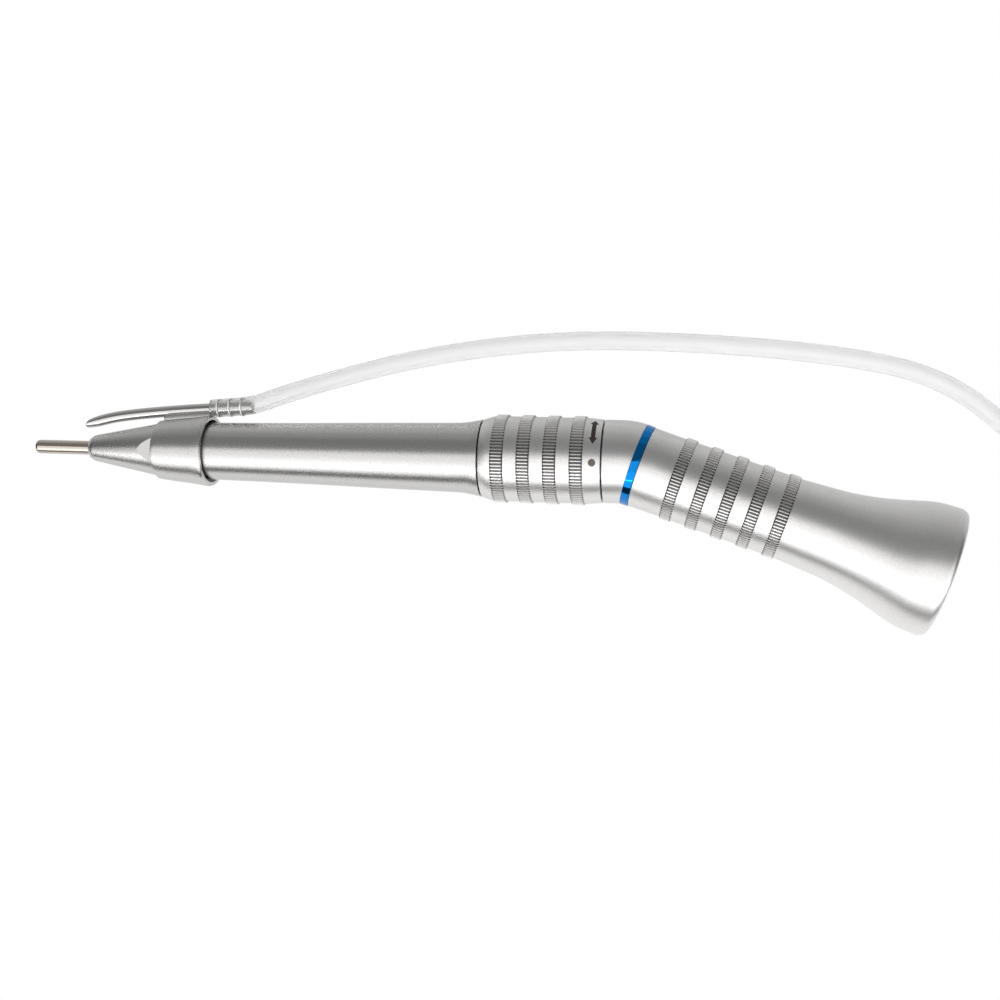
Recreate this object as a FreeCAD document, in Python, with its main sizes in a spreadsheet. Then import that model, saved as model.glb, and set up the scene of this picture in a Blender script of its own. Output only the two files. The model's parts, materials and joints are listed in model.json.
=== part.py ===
"""Angled surgical straight handpiece with a twist-lock chuck and a clip-on irrigation line.

Front pieces are drawn along +X from the nose tip, rear pieces along +X from the elbow's pivot,
where the two axes cross.  Each piece then gets the Placement of its frame, so that the
handpiece lies on its side on the plane Z = 0.  Lengths are millimetres, angles degrees.
"""
import FreeCAD, Part
import Sketcher

import math
import os
import re

from FreeCAD import Placement, Rotation, Vector

SIZES = [
    # how the handpiece lies: it touches the floor at the clip, the twist ring and the bell
    ("pivot_s", 90.9), ("bend_angle", 18.0), ("pitch_angle", 1.2847), ("roll_angle", 5.9854),
    ("pivot_x", 24.86), ("pivot_y", 8.16), ("pivot_z", 7.516),
    # nose cone
    ("nose_face_r", 1.7), ("nose_edge_x", 0.8), ("nose_edge_r", 2.2), ("cone_rear_x", 13.2),
    ("cone_rear_r", 4.6), ("spigot_x", 13.5), ("spigot_r", 3.97), ("spigot_end_x", 15.4),
    ("nose_bore_r", 1.35), ("guide_seat_x", 9.0), ("guide_seat_r", 2.95),
    ("flat_start_x", 8.0), ("flat_half_width", 3.67), ("flat_tool_size", 12.0),
    ("guide_end_x", 11.8), ("guide_bore_r", 1.21), ("seal_end_x", 13.8), ("seal_bore_r", 1.3),
    # front barrel: places along it and its outer radii there
    ("barrel_xa", 17.0), ("barrel_ra", 4.65), ("barrel_xb", 24.4), ("barrel_rb", 4.79),
    ("barrel_xc", 37.0), ("barrel_rc", 4.99), ("barrel_xd", 50.5), ("barrel_rd", 5.34),
    ("flare_x", 64.9), ("flare_r", 5.63), ("barrel_end_x", 67.7), ("barrel_end_r", 6.23),
    ("barrel_seat_end_x", 20.8), ("barrel_bore_r", 3.7), ("housing_seat_x", 61.5),
    ("housing_seat_r", 4.9),
    # ball bearings, all of one size
    ("race_width", 2.5), ("race_outer_r", 4.0), ("race_inner_r", 2.5), ("ball_r", 0.45),
    ("ball_pitch_r", 3.25), ("groove_r", 0.48), ("shoulder_low_r", 3.02),
    ("shoulder_high_r", 3.48), ("bearing_a_x", 16.75), ("bearing_b_x", 19.55),
    ("bearing_c_x", 80.25), ("bearing_d_x", 6.25), ("bearing_e_x", 18.25),
    ("washer_x", 18.0), ("washer_end_x", 18.3), ("washer_bore_r", 3.55),
    # spindle, collet and drawbar
    ("spindle_x", 14.7), ("spindle_mouth_r", 2.1), ("spindle_bore_x", 16.7),
    ("spindle_bore_r", 1.8), ("spindle_body_x", 20.9), ("spindle_body_r", 3.2),
    ("spindle_neck_x", 64.5), ("spindle_bore_end_x", 68.6), ("spindle_stub_x", 86.4),
    ("stub_r", 1.5), ("spindle_end_x", 89.9), ("pin_slot_x", 65.4), ("pin_slot_end_x", 67.8),
    ("pin_slot_width", 1.56), ("collet_x", 14.9), ("collet_nose_r", 2.02), ("collet_r", 1.75),
    ("collet_bore_r", 1.19), ("collet_bore_end_x", 25.0), ("collet_end_x", 27.0),
    ("collet_slit_end_x", 23.0), ("collet_slit_width", 0.4), ("drawbar_r", 1.0),
    ("drawbar_head_x", 58.0), ("drawbar_end_x", 68.2), ("cross_pin_x", 67.0),
    ("cross_pin_r", 0.75), ("cross_pin_length", 7.4), ("collar_x", 65.9), ("collar_end_x", 68.1),
    ("collar_bore_r", 2.53), ("collar_r", 3.8), ("seat_x", 32.0), ("seat_end_x", 34.0),
    ("seat_bore_r", 1.06), ("chuck_spring_x", 34.3), ("chuck_spring_length", 23.4),
    ("chuck_spring_pitch", 1.95), ("chuck_spring_r", 1.4), ("chuck_wire_r", 0.25),
    ("circlip_x", 81.55), ("circlip_end_x", 82.0), ("circlip_r", 3.3),
    # shank of the fitted tool
    ("shank_r", 1.175), ("shank_length", 34.0), ("shank_reach", 10.0), ("shank_chamfer", 0.35),
    ("shank_mark_x", 9.95), ("shank_mark_end_x", 10.6), ("shank_mark_r", 0.95),
    # cam housing and push sleeve
    ("housing_x", 61.6), ("housing_r", 5.1), ("housing_bore_end_x", 82.0),
    ("housing_gear_r", 4.5), ("housing_end_x", 88.9), ("seal_groove_x", 63.4),
    ("seal_groove_end_x", 64.6), ("seal_groove_r", 4.5), ("cam_slot_x", 70.6),
    ("cam_slot_length", 3.0), ("cam_slot_width", 2.1), ("sleeve_x", 68.3), ("sleeve_end_x", 73.6),
    ("sleeve_bore_r", 3.3), ("sleeve_r", 3.95), ("cam_pin_x", 72.5), ("cam_pin_r", 1.0),
    ("cam_pin_reach", 5.75), ("return_spring_x", 74.1), ("return_spring_length", 4.4),
    ("return_spring_pitch", 1.1), ("return_spring_r", 3.6), ("return_wire_r", 0.3),
    # twist ring and the cam sleeve inside it
    ("ring_x", 67.85), ("ring_front_r", 6.25), ("ring_shoulder_x", 69.1),
    ("ring_shoulder_r", 6.7), ("ring_body_r", 6.83), ("ring_crest_r", 7.05),
    ("ring_band_x", 69.85), ("ring_band_width", 2.1), ("ring_band_pitch", 4.15),
    ("band_bevel", 0.2), ("ring_end_x", 87.15), ("ring_end_r", 6.6), ("ring_bore_r", 5.87),
    ("cam_sleeve_x", 68.4), ("cam_sleeve_end_x", 86.8), ("cam_sleeve_bore_r", 5.16),
    ("cam_slot_r", 1.08), ("chuck_travel", 0.8), ("ring_turn", 45.0),
    # elbow and its bevel gears
    ("elbow_x", 87.3), ("elbow_r", 6.6), ("elbow_bore_r", 5.1), ("elbow_rear", 1.06),
    ("gear_teeth", 14.0), ("gear_inner", 2.2), ("gear_outer", 4.2), ("tooth_sink", 0.01),
    ("gear_tip", 0.12),
    ("gear_root", 0.15), ("gear_tip_width", 0.06), ("gear_root_width", 0.122),
    ("gear_depth", 3.4),
    # colour ring and rear grip
    ("colour_ring_end_x", 2.35), ("grip_r", 6.43), ("grip_crest_r", 6.7), ("grip_bore_r", 5.2),
    ("grip_band_x", 7.55), ("grip_band_width", 1.88), ("grip_band_pitch", 4.17),
    ("bell_xa", 29.0), ("bell_ra", 6.6), ("bell_xb", 34.0), ("bell_rb", 6.96),
    ("bell_xc", 37.5), ("bell_rc", 7.55), ("bell_xd", 41.0), ("bell_rd", 8.42),
    ("bell_xe", 43.8), ("bell_re", 9.3), ("bell_xf", 46.0), ("bell_rf", 9.9),
    ("bell_xg", 48.0), ("bell_rg", 10.1), ("bell_xh", 49.8), ("bell_rh", 10.15),
    ("bell_xi", 50.6), ("bell_ri", 9.8), ("grip_end_x", 50.8), ("grip_end_r", 9.3),
    ("mouth_r", 8.0), ("mouth_x", 43.5), ("socket_seat_x", 22.0), ("socket_seat_r", 5.9),
    ("socket_r", 4.8), ("socket_end_x", 43.0), ("retainer_bore_r", 5.0),
    # rear carrier and drive shaft
    ("carrier_bore_x", 4.6), ("carrier_land_x", 7.6), ("carrier_land_r", 3.6),
    ("carrier_seat_x", 16.9), ("carrier_end_x", 21.8), ("drive_x", 1.06), ("drive_body_x", 3.4),
    ("drive_end_x", 20.4), ("drive_tail_x", 19.7), ("drive_clip_end_x", 20.15),
    ("dog_end_x", 21.8), ("dog_r", 2.2), ("dog_slot_width", 1.2), ("dog_slot_depth", 1.0),
    # irrigation clip, tube and barb
    ("clip_x", 12.6), ("clip_front_r", 4.9), ("clip_xa", 14.0), ("clip_ra", 5.1),
    ("clip_xb", 19.0), ("clip_rb", 5.6), ("clip_xc", 21.0), ("clip_rc", 5.95), ("clip_end_x", 21.6),
    ("clip_end_r", 5.75), ("clip_fit", 0.06), ("clip_mouth_r", 5.15), ("clip_slit_width", 1.2),
    ("clip_slit_turn", 225.0), ("saddle_x", 13.2), ("saddle_length", 7.6), ("saddle_y", 4.85),
    ("saddle_height", 1.7), ("saddle_width", 1.1), ("tube_r", 0.925), ("tube_bore_r", 0.6),
    ("barb_x", 21.4), ("barb_end_x", 28.4), ("barb_r", 1.1), ("barb_ring_r", 1.27),
    ("barb_ring_x", 22.4), ("barb_ring_pitch", 2.05), ("barb_ring_width", 0.7),
    # hose, its coil, tie and connector
    ("hose_r", 1.5), ("hose_cuff_x", 21.7), ("coil_ahead", 82.5), ("coil_aside", 22.0),
    ("coil_z", 0.5), ("coil_height", 12.0), ("coil_inner_r", 12.0), ("coil_outer_r", 24.0),
    ("coil_round", 3.0),
    ("tie_wall", 0.4), ("tie_width", 3.0), ("tie_gap", 0.1),
    ("connector_length", 20.0), ("connector_r", 3.2), ("connector_nut_r", 2.7),
    ("connector_nut_length", 8.0),
    ("luer_r", 2.1), ("luer_depth", 7.0),
]

# centreline of the irrigation tube: along the front axis and out from it, towards the hose side
TUBE_ROUTE = [(-1.2, 4.0), (1.5, 4.8), (5.2, 5.6), (12.6, 6.45), (20.8, 7.1), (28.4, 7.6)]

# centreline of the hose from the barb's end to the coil, from the elbow's pivot on the floor
HOSE_ROUTE = [
    (-62.5, 7.56, 5.35), (-58.0, 9.35, 4.6), (-52.5, 11.3, 3.0), (-46.0, 13.3, 1.9),
    (-38.0, 15.45, 1.5), (-28.5, 17.3, 1.5), (-17.0, 18.85, 1.5), (-5.4, 19.5, 1.5),
    (7.0, 19.35, 1.5), (19.0, 18.8, 1.5), (31.0, 17.75, 1.5), (41.5, 16.1, 1.5),
    (48.0, 13.9, 1.5), (53.0, 11.1, 1.5), (57.2, 7.7, 1.5), (62.0, 3.8, 1.5),
    (68.0, 1.0, 1.5), (75.5, -0.3, 1.6), (82.5, -0.5, 2.0),
]

# the hose's far end, from the coil's centre on the floor: off its top, down beside it, along +Y
TAIL_ROUTE = [
    (3.7, -21.2, 11.0), (13.0, -20.6, 10.3), (20.6, -15.6, 7.4), (25.6, -9.0, 4.3),
    (27.6, -2.0, 3.3), (27.6, 3.0, 3.3),
]

BALL_COUNT = 9
BAND_COUNT = {"ring": 4, "grip": 5}
BARB_RINGS = 3
CAM_STEPS = 12
ARC_SHARE = 0.45

doc = FreeCAD.newDocument("handpiece")
sheet = doc.addObject("Spreadsheet::Sheet", "Sizes")
for row, (alias, number) in enumerate(SIZES, start=1):
    sheet.set(f"A{row}", alias)
    sheet.set(f"B{row}", str(number))
    sheet.setAlias(f"B{row}", alias)
doc.recompute()

ALIASES = {alias for alias, _ in SIZES}
X_AXIS = Vector(1, 0, 0)
Y_AXIS = Vector(0, 1, 0)
Z_AXIS = Vector(0, 0, 1)
ALONG_X = Rotation(Y_AXIS, 90)
pieces = []


def bind(text):
    """Turn an expression in sheet words into one that names the sheet."""
    return re.sub(r"[a-z_]+", lambda m: "Sizes." + m[0] if m[0] in ALIASES else m[0], text)


def value(text):
    """The number that an expression in sheet words stands for."""
    number = sheet.evalExpression(bind(text))
    return getattr(number, "Value", number)


def keep(item, label, frame):
    """Name a finished piece and put it in its place."""
    item.Label = label
    item.Placement = frame
    pieces.append(item)
    return item


def slide_along(frame, text):
    return frame.multiply(Placement(Vector(value(text), 0, 0), Rotation()))


# ---------------------------------------------------------------- frames
lie = Rotation(X_AXIS, -value("roll_angle")).multiply(Rotation(Y_AXIS, -value("pitch_angle")))
PIVOT_POINT = Vector(value("pivot_x"), value("pivot_y"), value("pivot_z"))
AT_PIVOT = Placement(PIVOT_POINT, lie)
FRONT = AT_PIVOT.multiply(Placement(Vector(-value("pivot_s"), 0, 0), Rotation()))
REAR = AT_PIVOT.multiply(Placement(Vector(), Rotation(Z_AXIS, -value("bend_angle"))))
FLOOR = Placement()
COIL_POINT = Vector(value("pivot_x + coil_ahead"), value("pivot_y + coil_aside"), 0)


# ---------------------------------------------------------------- ways to make a shape
def pin_vertex(sketch, index, x_text, r_text):
    """Hold the start of one outline edge at its distances from the origin."""
    for kind, text, axis in (("DistanceX", x_text, -2), ("DistanceY", r_text, -1)):
        if text == "0":
            sketch.addConstraint(Sketcher.Constraint("PointOnObject", index, 1, axis))
            continue
        constraint = Sketcher.Constraint(kind, -1, 1, index, 1, value(text))
        number = sketch.addConstraint(constraint)
        sketch.setExpression(f"Constraints[{number}]", bind(text))


def turned(name, outline):
    """A body turned about X from an outline of (place, radius) corners."""
    body = doc.addObject("PartDesign::Body", name)
    planes = {plane.Role: plane for plane in body.Origin.OriginFeatures}
    sketch = body.newObject("Sketcher::SketchObject", name + "_outline")
    sketch.AttachmentSupport = [(planes["XY_Plane"], "")]
    sketch.MapMode = "FlatFace"
    corners = [Vector(value(x), value(r), 0) for x, r in outline]
    count = len(corners)
    for index in range(count):
        sketch.addGeometry(Part.LineSegment(corners[index], corners[(index + 1) % count]))
    for index in range(count):
        following = (index + 1) % count
        sketch.addConstraint(Sketcher.Constraint("Coincident", index, 2, following, 1))
    for index, (x_text, r_text) in enumerate(outline):
        pin_vertex(sketch, index, x_text, r_text)
    spin = body.newObject("PartDesign::Revolution", name + "_turned")
    spin.Profile = (sketch, [""])
    spin.ReferenceAxis = (sketch, ["H_Axis"])
    spin.Angle = 360
    body.Tip = spin
    return body


def ring(name, start, end, bore, outer):
    """A plain turned ring."""
    return turned(name, [(start, bore), (start, outer), (end, outer), (end, bore)])


def rod(name, start, length, radius):
    """A cylinder along X."""
    item = doc.addObject("Part::Cylinder", name)
    item.Placement = Placement(Vector(), ALONG_X)
    item.setExpression("Placement.Base.x", bind(start))
    item.setExpression("Height", bind(length))
    item.setExpression("Radius", bind(radius))
    return item


def radial_rod(name, place, low, high, radius, axis):
    """A cylinder across the axis, from one distance to another along Y or Z."""
    item = doc.addObject("Part::Cylinder", name)
    turn = Rotation(X_AXIS, -90) if axis == "y" else Rotation()
    item.Placement = Placement(Vector(), turn)
    item.setExpression("Placement.Base.x", bind(place))
    item.setExpression(f"Placement.Base.{axis}", bind(low))
    item.setExpression("Height", bind(f"({high}) - ({low})"))
    item.setExpression("Radius", bind(radius))
    return item


def block(name, low, size, turn=None):
    """A box from its low corner and its size, turned about X when asked."""
    item = doc.addObject("Part::Box", name)
    for side, text in zip(("Length", "Width", "Height"), size):
        item.setExpression(side, bind(text))
    if turn is None:
        for letter, text in zip("xyz", low):
            item.setExpression(f"Placement.Base.{letter}", bind(text))
        return item
    corner = Vector(*[value(text) for text in low])
    spin = Placement(Vector(), Rotation(X_AXIS, turn))
    item.Placement = spin.multiply(Placement(corner, Rotation()))
    return item


def cut(name, base, tool):
    item = doc.addObject("Part::Cut", name)
    item.Base = base
    item.Tool = tool
    return item


def fuse(name, shapes):
    item = doc.addObject("Part::MultiFuse", name)
    item.Shapes = shapes
    return item


def group(name, links):
    item = doc.addObject("Part::Compound", name)
    item.Links = links
    return item


def free_shape(name, shape):
    item = doc.addObject("Part::Feature", name)
    item.Shape = shape
    return item


def banded(first, width, pitch, low_r, high_r, count):
    """Outline corners of raised bands with bevelled edges."""
    corners = []
    for index in range(count):
        start = f"{first} + {index} * {pitch}"
        end = f"{start} + {width}"
        corners += [(start, low_r), (f"{start} + band_bevel", high_r)]
        corners += [(f"{end} - band_bevel", high_r), (end, low_r)]
    return corners


def spring(name, label, prefix):
    """A coil spring that starts at its own place on the front axis."""
    length, pitch = value(f"{prefix}_spring_length"), value(f"{prefix}_spring_pitch")
    radius, wire_r = value(f"{prefix}_spring_r"), value(f"{prefix}_wire_r")
    helix = Part.makeHelix(pitch, length, radius)
    section = Part.Wire(Part.makeCircle(wire_r, Vector(radius, 0, 0), Y_AXIS))
    coil = Part.Wire(helix.Edges).makePipeShell([section], True, True)
    start = Vector(value(f"{prefix}_spring_x"), 0, 0)
    keep(free_shape(name, coil), label, FRONT.multiply(Placement(start, ALONG_X)))


def route_wire(points, label):
    """Straight runs joined by tangent arcs; prints the arcs' radii."""
    edges = []
    radii = []
    here = points[0]
    for index in range(1, len(points) - 1):
        before = points[index - 1] - points[index]
        after = points[index + 1] - points[index]
        half_turn = (math.pi - before.getAngle(after)) / 2
        reach = ARC_SHARE * min(before.Length, after.Length)
        radii.append(reach / math.tan(half_turn))
        before.normalize()
        after.normalize()
        start = points[index] + before * reach
        end = points[index] + after * reach
        inward = before + after
        inward.normalize()
        hump = radii[-1] / math.cos(half_turn) - radii[-1]
        edges.append(Part.LineSegment(here, start).toShape())
        edges.append(Part.Arc(start, points[index] + inward * hump, end).toShape())
        here = end
    edges.append(Part.LineSegment(here, points[-1]).toShape())
    print(label, "radii", [round(radius, 1) for radius in radii])
    return Part.Wire(edges)


def route_tube(points, radius, label):
    """A solid tube along a route, checked against its section times its length."""
    path = route_wire(points, label)
    first = points[1] - points[0]
    section = Part.Wire(Part.makeCircle(radius, points[0], first))
    tube = path.makePipeShell([section], True, False)
    expected = math.pi * radius ** 2 * path.Length
    print(label, "length", round(path.Length, 2), "volume share", round(tube.Volume / expected, 4))
    return tube


# ---------------------------------------------------------------- front of the handpiece
def nose_cone():
    blank = turned("nose_blank", [
        ("0", "nose_bore_r"), ("0", "nose_face_r"), ("nose_edge_x", "nose_edge_r"),
        ("cone_rear_x", "cone_rear_r"), ("spigot_x", "cone_rear_r"), ("spigot_x", "spigot_r"),
        ("spigot_end_x", "spigot_r"), ("spigot_end_x", "guide_seat_r"),
        ("guide_seat_x", "guide_seat_r"), ("guide_seat_x", "nose_bore_r")])
    size = ("spigot_x - flat_start_x", "flat_tool_size", "flat_tool_size")
    upper = block("flat_cut_upper", ("flat_start_x", "-flat_tool_size / 2", "flat_half_width"), size)
    lower_z = "-flat_half_width - flat_tool_size"
    lower = block("flat_cut_lower", ("flat_start_x", "-flat_tool_size / 2", lower_z), size)
    keep(cut("nose_flats", blank, fuse("flat_cuts", [upper, lower])), "nose_cone", FRONT)


def front_shells():
    keep(ring("guide", "guide_seat_x", "guide_end_x", "guide_bore_r", "guide_seat_r"),
         "bur_guide", FRONT)
    keep(ring("lip_seal", "guide_end_x", "seal_end_x", "seal_bore_r", "guide_seat_r"),
         "nose_seal", FRONT)
    keep(turned("barrel", [
        ("spigot_x", "race_outer_r"), ("spigot_x", "cone_rear_r"), ("barrel_xa", "barrel_ra"),
        ("barrel_xb", "barrel_rb"), ("barrel_xc", "barrel_rc"), ("barrel_xd", "barrel_rd"),
        ("flare_x", "flare_r"), ("barrel_end_x", "barrel_end_r"),
        ("barrel_end_x", "housing_seat_r"), ("housing_seat_x", "housing_seat_r"),
        ("housing_seat_x", "barrel_bore_r"), ("barrel_seat_end_x", "barrel_bore_r"),
        ("barrel_seat_end_x", "race_outer_r")]), "front_barrel", FRONT)
    keep(ring("washer", "washer_x", "washer_end_x", "washer_bore_r", "race_outer_r"),
         "preload_washer", FRONT)


def bearing(prefix, frame, centre):
    """Outer race, inner race and balls about one place on an axis."""
    half = "race_width / 2"
    here = slide_along(frame, centre)
    for part, bore, outer in (("outer", "shoulder_high_r", "race_outer_r"),
                              ("inner", "race_inner_r", "shoulder_low_r")):
        name = f"{prefix}_{part}"
        blank = cut(name + "_blank", rod(name + "_solid", "-" + half, "race_width", outer),
                    rod(name + "_bore", "-" + half, "race_width", bore))
        groove = doc.addObject("Part::Torus", name + "_groove")
        groove.setExpression("Radius1", bind("ball_pitch_r"))
        groove.setExpression("Radius2", bind("groove_r"))
        groove.Placement = Placement(Vector(), ALONG_X)
        keep(cut(name + "_race", blank, groove), name, here)
    balls = []
    for index in range(BALL_COUNT):
        ball = doc.addObject("Part::Sphere", f"{prefix}_ball")
        angle = 360 / BALL_COUNT * index
        ball.setExpression("Radius", bind("ball_r"))
        ball.setExpression("Placement.Base.y", bind(f"ball_pitch_r * cos({angle})"))
        ball.setExpression("Placement.Base.z", bind(f"ball_pitch_r * sin({angle})"))
        balls.append(ball)
    keep(group(f"{prefix}_set", balls), f"{prefix}_balls", here)


# ---------------------------------------------------------------- spindle and chuck
def spindle():
    blank = turned("spindle_blank", [
        ("spindle_x", "spindle_mouth_r"), ("spindle_x", "race_inner_r"),
        ("spindle_body_x", "race_inner_r"), ("spindle_body_x", "spindle_body_r"),
        ("spindle_neck_x", "spindle_body_r"), ("spindle_neck_x", "race_inner_r"),
        ("spindle_stub_x", "race_inner_r"), ("spindle_stub_x", "stub_r"),
        ("spindle_end_x", "stub_r"), ("spindle_end_x", "0"), ("spindle_bore_end_x", "0"),
        ("spindle_bore_end_x", "spindle_bore_r"), ("spindle_bore_x", "spindle_bore_r")])
    slot = block("spindle_slot", ("pin_slot_x", "-collar_r", "-pin_slot_width / 2"),
                 ("pin_slot_end_x - pin_slot_x", "2 * collar_r", "pin_slot_width"))
    keep(cut("spindle_slotted", blank, slot), "spindle", FRONT)
    keep(ring("seat", "seat_x", "seat_end_x", "seat_bore_r", "spindle_bore_r"),
         "spring_seat", FRONT)
    keep(ring("clip_a", "circlip_x", "circlip_end_x", "race_inner_r", "circlip_r"),
         "spindle_circlip", FRONT)
    spring("chuck_coil", "chuck_spring", "chuck")


def collet():
    blank = turned("collet_blank", [
        ("collet_x", "collet_bore_r"), ("collet_x", "collet_nose_r"),
        ("spindle_bore_x", "collet_r"), ("collet_end_x", "collet_r"), ("collet_end_x", "0"),
        ("collet_bore_end_x", "0"), ("collet_bore_end_x", "collet_bore_r")])
    low = ("collet_x", "0", "-collet_slit_width / 2")
    size = ("collet_slit_end_x - collet_x", "2 * collet_nose_r", "collet_slit_width")
    slits = [block("collet_slit", low, size, turn) for turn in (60, 180, 300)]
    keep(cut("collet_slitted", blank, fuse("collet_slits", slits)), "collet", FRONT)


def cross_hole(name):
    half = "cross_pin_length / 2"
    return radial_rod(name, "cross_pin_x", "-" + half, half, "cross_pin_r", "y")


def drawbar():
    blank = turned("drawbar_blank", [
        ("collet_end_x", "0"), ("collet_end_x", "drawbar_r"), ("drawbar_head_x", "drawbar_r"),
        ("drawbar_head_x", "collet_r"), ("drawbar_end_x", "collet_r"), ("drawbar_end_x", "0")])
    keep(cut("drawbar_drilled", blank, cross_hole("drawbar_hole")), "drawbar", FRONT)
    keep(group("cross_rod_group", [cross_hole("cross_rod")]), "cross_pin", FRONT)
    collar = ring("collar_blank", "collar_x", "collar_end_x", "collar_bore_r", "collar_r")
    keep(cut("collar_drilled", collar, cross_hole("collar_hole")), "thrust_collar", FRONT)


def test_shank():
    """A plain shank; the groove marks how far it goes into the nose."""
    chamfer = "shank_chamfer"
    here = FRONT.multiply(Placement(Vector(-value("shank_reach"), 0, 0), Rotation()))
    keep(turned("shank", [
        ("0", "0"), ("0", f"shank_r - {chamfer}"), (chamfer, "shank_r"),
        ("shank_mark_x", "shank_r"), ("shank_mark_x", "shank_mark_r"),
        ("shank_mark_end_x", "shank_mark_r"), ("shank_mark_end_x", "shank_r"),
        (f"shank_length - {chamfer}", "shank_r"), ("shank_length", f"shank_r - {chamfer}"),
        ("shank_length", "0")]), "tool_shank", here)


# ---------------------------------------------------------------- twist lock
def cam_housing():
    blank = turned("housing_blank", [
        ("housing_x", "race_outer_r"), ("housing_x", "housing_seat_r"),
        ("seal_groove_x", "housing_seat_r"), ("seal_groove_x", "seal_groove_r"),
        ("seal_groove_end_x", "seal_groove_r"), ("seal_groove_end_x", "housing_seat_r"),
        ("barrel_end_x", "housing_seat_r"), ("barrel_end_x", "housing_r"),
        ("housing_end_x", "housing_r"), ("housing_end_x", "housing_gear_r"),
        ("housing_bore_end_x", "housing_gear_r"), ("housing_bore_end_x", "race_outer_r")])
    slot = block("housing_slot", ("cam_slot_x", "-cam_slot_width / 2", "-elbow_r"),
                 ("cam_slot_length", "cam_slot_width", "2 * elbow_r"))
    keep(cut("housing_slotted", blank, slot), "cam_housing", FRONT)
    keep(ring("ring_seal", "seal_groove_x", "seal_groove_end_x", "seal_groove_r",
              "housing_seat_r"), "barrel_seal", FRONT)
    spring("return_coil", "return_spring", "return")


def cam_pin_rods(name):
    """Two rods across the sleeve, one each side, from its bore to the cam slots."""
    upper = radial_rod(name + "_a", "cam_pin_x", "sleeve_bore_r", "cam_pin_reach", "cam_pin_r", "z")
    lower = radial_rod(name + "_b", "cam_pin_x", "-cam_pin_reach", "-sleeve_bore_r", "cam_pin_r",
                       "z")
    return [upper, lower]


def push_sleeve():
    blank = ring("sleeve_blank", "sleeve_x", "sleeve_end_x", "sleeve_bore_r", "sleeve_r")
    holes = fuse("sleeve_holes", cam_pin_rods("sleeve_hole"))
    keep(cut("sleeve_drilled", blank, holes), "push_sleeve", FRONT)
    keep(group("cam_pin_pair", cam_pin_rods("cam_pin")), "cam_pins", FRONT)


def twist_ring():
    outline = [("ring_x", "ring_bore_r"), ("ring_x", "ring_front_r"),
               ("ring_shoulder_x", "ring_shoulder_r")]
    outline += banded("ring_band_x", "ring_band_width", "ring_band_pitch", "ring_body_r",
                      "ring_crest_r", BAND_COUNT["ring"])
    outline += [("ring_end_x", "ring_end_r"), ("ring_end_x", "ring_bore_r")]
    keep(turned("ring_shell", outline), "twist_ring", FRONT)
    keep(cam_sleeve(), "cam_sleeve", FRONT)


def cam_sleeve():
    """The sleeve's two slots advance by the chuck's travel over the ring's turn."""
    blank = ring("cam_sleeve_blank", "cam_sleeve_x", "cam_sleeve_end_x", "cam_sleeve_bore_r",
                 "ring_bore_r")
    drills = []
    for side in (90, 270):
        for step in range(CAM_STEPS + 1):
            share = step / CAM_STEPS
            drill = doc.addObject("Part::Cylinder", "cam_drill")
            drill.setExpression("Radius", bind("cam_slot_r"))
            drill.setExpression("Height", bind("ring_crest_r"))
            around = side - share * value("ring_turn")
            place = Vector(value("cam_pin_x") - share * value("chuck_travel"), 0, 0)
            drill.Placement = Placement(place, Rotation(X_AXIS, around - 90))
            drills.append(drill)
    return cut("cam_sleeve_slotted", blank, fuse("cam_drills", drills))


# ---------------------------------------------------------------- elbow and gears
def mitred(name, radius):
    """Two cylinders that meet at the plane halving the bend."""
    half = value("bend_angle") / 2
    size = 4 * value("elbow_r")
    start = value("elbow_x") - value("pivot_s")
    front = doc.addObject("Part::Cylinder", name + "_front")
    front.Placement = Placement(Vector(start, 0, 0), ALONG_X)
    front.setExpression("Height", bind("pivot_s - elbow_x + elbow_r"))
    rear = doc.addObject("Part::Cylinder", name + "_rear")
    to_rear = Placement(Vector(), Rotation(Z_AXIS, -value("bend_angle")))
    back = Placement(Vector(-value("elbow_r"), 0, 0), ALONG_X)
    rear.Placement = to_rear.multiply(back)
    rear.setExpression("Height", bind("elbow_r + elbow_rear"))
    halves = []
    for cylinder, shift in ((front, 0), (rear, -size)):
        cylinder.setExpression("Radius", bind(radius))
        wall = doc.addObject("Part::Box", name + "_wall")
        wall.Length = wall.Width = wall.Height = size
        corner = Placement(Vector(shift, -size / 2, -size / 2), Rotation())
        wall.Placement = Placement(Vector(), Rotation(Z_AXIS, -half)).multiply(corner)
        halves.append(cut(name + "_half", cylinder, wall))
    return fuse(name, halves)


def elbow():
    shell = cut("elbow_shell", mitred("elbow_outer", "elbow_r"), mitred("elbow_bore", "elbow_bore_r"))
    keep(shell, "elbow_housing", AT_PIVOT)
    keep(ring("anodised_ring", "elbow_rear", "colour_ring_end_x", "grip_bore_r", "elbow_r"),
         "colour_ring", REAR)


def gear_point(reach, height, side, angle):
    """A point of a tooth: reach along the pitch cone, height out of it, side around it."""
    cone = math.radians(90 - value("bend_angle") / 2)
    along = reach * (height * math.sin(cone) - math.cos(cone))
    out = reach * (math.sin(cone) + height * math.cos(cone))
    across = reach * side
    turn = math.radians(angle)
    return Vector(along, out * math.cos(turn) - across * math.sin(turn),
                  out * math.sin(turn) + across * math.cos(turn))


def gear_tooth(angle):
    tip, root = value("gear_tip"), value("gear_root") + value("tooth_sink")
    wide, narrow = value("gear_root_width"), value("gear_tip_width")
    sections = []
    for reach in (value("gear_inner"), value("gear_outer")):
        corners = [gear_point(reach, -root, -wide, angle), gear_point(reach, -root, wide, angle),
                   gear_point(reach, tip, narrow, angle), gear_point(reach, tip, -narrow, angle)]
        sections.append(Part.makePolygon(corners + corners[:1]))
    return Part.makeLoft(sections, True, True)


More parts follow.
